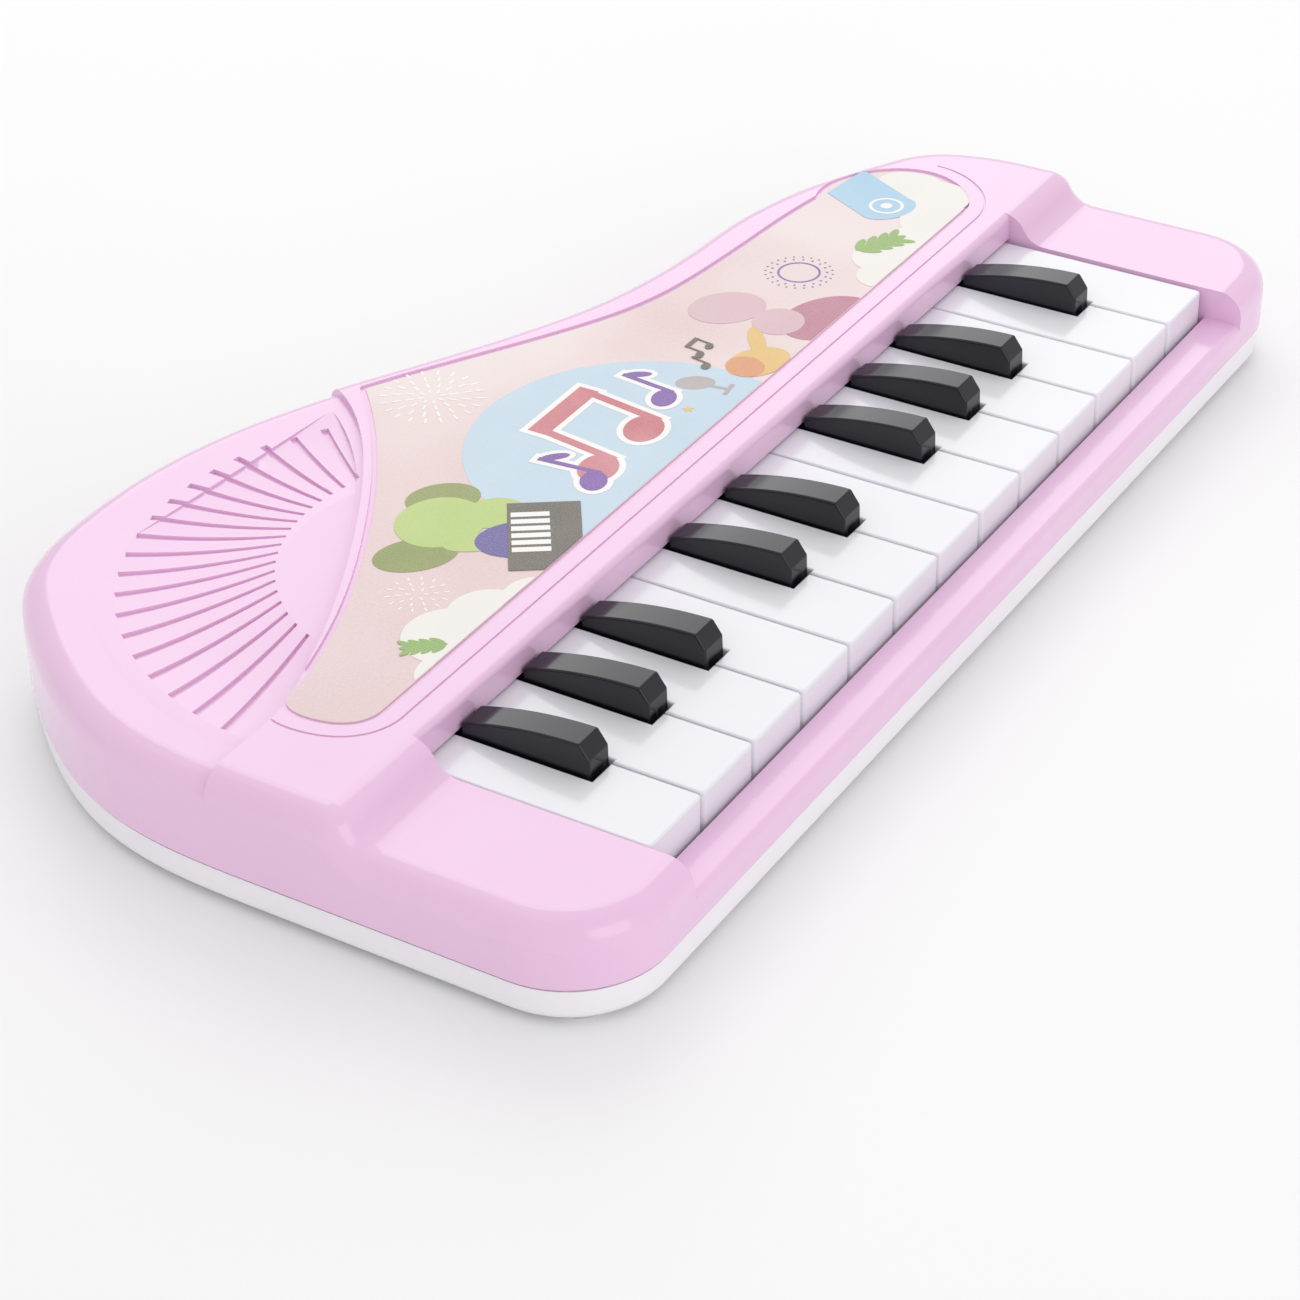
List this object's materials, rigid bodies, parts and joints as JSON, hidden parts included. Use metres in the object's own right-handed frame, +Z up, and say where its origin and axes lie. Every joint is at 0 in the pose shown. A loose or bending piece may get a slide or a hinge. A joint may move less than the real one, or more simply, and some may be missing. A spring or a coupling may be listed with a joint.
{
  "type": "toy electronic keyboard",
  "caption": "Small piano-shaped toy electronic keyboard with hinged white and black keys, a loudspeaker under a fan of grooves, a printed panel and a battery bay with a hinged door.",
  "frame": {"origin": "under the middle of the case, on the plane of the feet", "axes": "+X along the keys from low notes to high notes, +Y from the keys to the rear, +Z up"},
  "size_m": [0.3248, 0.1774, 0.0315],
  "materials": {
    "pink_shell": "glossy moulded",
    "pale_base": "satin moulded",
    "printed_panel": "printed film",
    "foot_rubber": "matte",
    "steel": "zinc plated",
    "inner_plastic": "moulded",
    "board_green": "lacquered laminate",
    "contact_rubber": "soft silicone",
    "basket_steel": "pressed steel",
    "magnet_iron": "ferrite",
    "cone_paper": "pulp paper",
    "chip_black": "resin blob",
    "socket_white": "moulded",
    "can_black": "moulded",
    "switch_metal": "pressed",
    "cell_wrap": "wrapped can",
    "contact_plate": "nickel plated",
    "lead_grey": "insulation",
    "lead_red": "insulation",
    "key_white": "glossy moulded",
    "key_black": "glossy moulded"
  },
  "bodies": {
    "case": {"top_shell": "pink_shell", "bottom_shell": "pale_base", "graphic_panel": "printed_panel", "rubber_feet": "foot_rubber", "case_screws": "steel", "key_frame": "inner_plastic", "pivot_rod": "steel", "contact_board": "board_green", "rubber_contacts": "contact_rubber", "shelf_screws": "steel", "speaker_basket": "basket_steel", "speaker_magnet": "magnet_iron", "speaker_cone": "cone_paper", "speaker_screws": "steel", "sound_board": "board_green", "sound_screws": "steel", "sound_chip": "chip_black", "lead_sockets": "socket_white", "capacitors": "can_black", "switch_case": "switch_metal", "battery_cell_1": "cell_wrap", "battery_cell_2": "cell_wrap", "battery_cell_3": "cell_wrap", "battery_contacts": "contact_plate", "battery_springs": "contact_plate", "speaker_lead": "lead_grey", "battery_lead": "lead_red", "key_lead": "lead_grey"},
    "white_key_01": {"white_key_01": "key_white"},
    "white_key_02": {"white_key_02": "key_white"},
    "white_key_03": {"white_key_03": "key_white"},
    "white_key_04": {"white_key_04": "key_white"},
    "white_key_05": {"white_key_05": "key_white"},
    "white_key_06": {"white_key_06": "key_white"},
    "white_key_07": {"white_key_07": "key_white"},
    "white_key_08": {"white_key_08": "key_white"},
    "white_key_09": {"white_key_09": "key_white"},
    "white_key_10": {"white_key_10": "key_white"},
    "white_key_11": {"white_key_11": "key_white"},
    "white_key_12": {"white_key_12": "key_white"},
    "white_key_13": {"white_key_13": "key_white"},
    "black_key_01": {"black_key_01": "key_black"},
    "black_key_02": {"black_key_02": "key_black"},
    "black_key_03": {"black_key_03": "key_black"},
    "black_key_04": {"black_key_04": "key_black"},
    "black_key_05": {"black_key_05": "key_black"},
    "black_key_06": {"black_key_06": "key_black"},
    "black_key_07": {"black_key_07": "key_black"},
    "black_key_08": {"black_key_08": "key_black"},
    "black_key_09": {"black_key_09": "key_black"},
    "door": {"battery_door": "pale_base", "door_screw": "steel"},
    "switch": {"switch_knob": "can_black"}
  },
  "joints": [
    {"name": "white_key_01_press", "type": "hinge", "parent": "case", "child": "white_key_01", "pos_m": [0, -0.0183, 0.0165], "axis": [1, 0, 0], "range_deg": [0, 3], "stiffness_Nm_per_rad": 0.25, "springref_deg": -1.72},
    {"name": "white_key_02_press", "type": "hinge", "parent": "case", "child": "white_key_02", "pos_m": [0, -0.0183, 0.0165], "axis": [1, 0, 0], "range_deg": [0, 3], "stiffness_Nm_per_rad": 0.25, "springref_deg": -1.72},
    {"name": "white_key_03_press", "type": "hinge", "parent": "case", "child": "white_key_03", "pos_m": [0, -0.0183, 0.0165], "axis": [1, 0, 0], "range_deg": [0, 3], "stiffness_Nm_per_rad": 0.25, "springref_deg": -1.72},
    {"name": "white_key_04_press", "type": "hinge", "parent": "case", "child": "white_key_04", "pos_m": [0, -0.0183, 0.0165], "axis": [1, 0, 0], "range_deg": [0, 3], "stiffness_Nm_per_rad": 0.25, "springref_deg": -1.72},
    {"name": "white_key_05_press", "type": "hinge", "parent": "case", "child": "white_key_05", "pos_m": [0, -0.0183, 0.0165], "axis": [1, 0, 0], "range_deg": [0, 3], "stiffness_Nm_per_rad": 0.25, "springref_deg": -1.72},
    {"name": "white_key_06_press", "type": "hinge", "parent": "case", "child": "white_key_06", "pos_m": [0, -0.0183, 0.0165], "axis": [1, 0, 0], "range_deg": [0, 3], "stiffness_Nm_per_rad": 0.25, "springref_deg": -1.72},
    {"name": "white_key_07_press", "type": "hinge", "parent": "case", "child": "white_key_07", "pos_m": [0, -0.0183, 0.0165], "axis": [1, 0, 0], "range_deg": [0, 3], "stiffness_Nm_per_rad": 0.25, "springref_deg": -1.72},
    {"name": "white_key_08_press", "type": "hinge", "parent": "case", "child": "white_key_08", "pos_m": [0, -0.0183, 0.0165], "axis": [1, 0, 0], "range_deg": [0, 3], "stiffness_Nm_per_rad": 0.25, "springref_deg": -1.72},
    {"name": "white_key_09_press", "type": "hinge", "parent": "case", "child": "white_key_09", "pos_m": [0, -0.0183, 0.0165], "axis": [1, 0, 0], "range_deg": [0, 3], "stiffness_Nm_per_rad": 0.25, "springref_deg": -1.72},
    {"name": "white_key_10_press", "type": "hinge", "parent": "case", "child": "white_key_10", "pos_m": [0, -0.0183, 0.0165], "axis": [1, 0, 0], "range_deg": [0, 3], "stiffness_Nm_per_rad": 0.25, "springref_deg": -1.72},
    {"name": "white_key_11_press", "type": "hinge", "parent": "case", "child": "white_key_11", "pos_m": [0, -0.0183, 0.0165], "axis": [1, 0, 0], "range_deg": [0, 3], "stiffness_Nm_per_rad": 0.25, "springref_deg": -1.72},
    {"name": "white_key_12_press", "type": "hinge", "parent": "case", "child": "white_key_12", "pos_m": [0, -0.0183, 0.0165], "axis": [1, 0, 0], "range_deg": [0, 3], "stiffness_Nm_per_rad": 0.25, "springref_deg": -1.72},
    {"name": "white_key_13_press", "type": "hinge", "parent": "case", "child": "white_key_13", "pos_m": [0, -0.0183, 0.0165], "axis": [1, 0, 0], "range_deg": [0, 3], "stiffness_Nm_per_rad": 0.25, "springref_deg": -1.72},
    {"name": "black_key_01_press", "type": "hinge", "parent": "case", "child": "black_key_01", "pos_m": [0, -0.0183, 0.0165], "axis": [1, 0, 0], "range_deg": [0, 3.5], "stiffness_Nm_per_rad": 0.25, "springref_deg": -1.72},
    {"name": "black_key_02_press", "type": "hinge", "parent": "case", "child": "black_key_02", "pos_m": [0, -0.0183, 0.0165], "axis": [1, 0, 0], "range_deg": [0, 3.5], "stiffness_Nm_per_rad": 0.25, "springref_deg": -1.72},
    {"name": "black_key_03_press", "type": "hinge", "parent": "case", "child": "black_key_03", "pos_m": [0, -0.0183, 0.0165], "axis": [1, 0, 0], "range_deg": [0, 3.5], "stiffness_Nm_per_rad": 0.25, "springref_deg": -1.72},
    {"name": "black_key_04_press", "type": "hinge", "parent": "case", "child": "black_key_04", "pos_m": [0, -0.0183, 0.0165], "axis": [1, 0, 0], "range_deg": [0, 3.5], "stiffness_Nm_per_rad": 0.25, "springref_deg": -1.72},
    {"name": "black_key_05_press", "type": "hinge", "parent": "case", "child": "black_key_05", "pos_m": [0, -0.0183, 0.0165], "axis": [1, 0, 0], "range_deg": [0, 3.5], "stiffness_Nm_per_rad": 0.25, "springref_deg": -1.72},
    {"name": "black_key_06_press", "type": "hinge", "parent": "case", "child": "black_key_06", "pos_m": [0, -0.0183, 0.0165], "axis": [1, 0, 0], "range_deg": [0, 3.5], "stiffness_Nm_per_rad": 0.25, "springref_deg": -1.72},
    {"name": "black_key_07_press", "type": "hinge", "parent": "case", "child": "black_key_07", "pos_m": [0, -0.0183, 0.0165], "axis": [1, 0, 0], "range_deg": [0, 3.5], "stiffness_Nm_per_rad": 0.25, "springref_deg": -1.72},
    {"name": "black_key_08_press", "type": "hinge", "parent": "case", "child": "black_key_08", "pos_m": [0, -0.0183, 0.0165], "axis": [1, 0, 0], "range_deg": [0, 3.5], "stiffness_Nm_per_rad": 0.25, "springref_deg": -1.72},
    {"name": "black_key_09_press", "type": "hinge", "parent": "case", "child": "black_key_09", "pos_m": [0, -0.0183, 0.0165], "axis": [1, 0, 0], "range_deg": [0, 3.5], "stiffness_Nm_per_rad": 0.25, "springref_deg": -1.72},
    {"name": "door_hinge", "type": "hinge", "parent": "case", "child": "door", "pos_m": [-0.0358, 0.0431, 0.0026], "axis": [1, 0, 0], "range_deg": [0, 95]},
    {"name": "switch_slide", "type": "slide", "parent": "case", "child": "switch", "axis": [1, 0, 0], "range_m": [0, 0.004]}
  ]
}
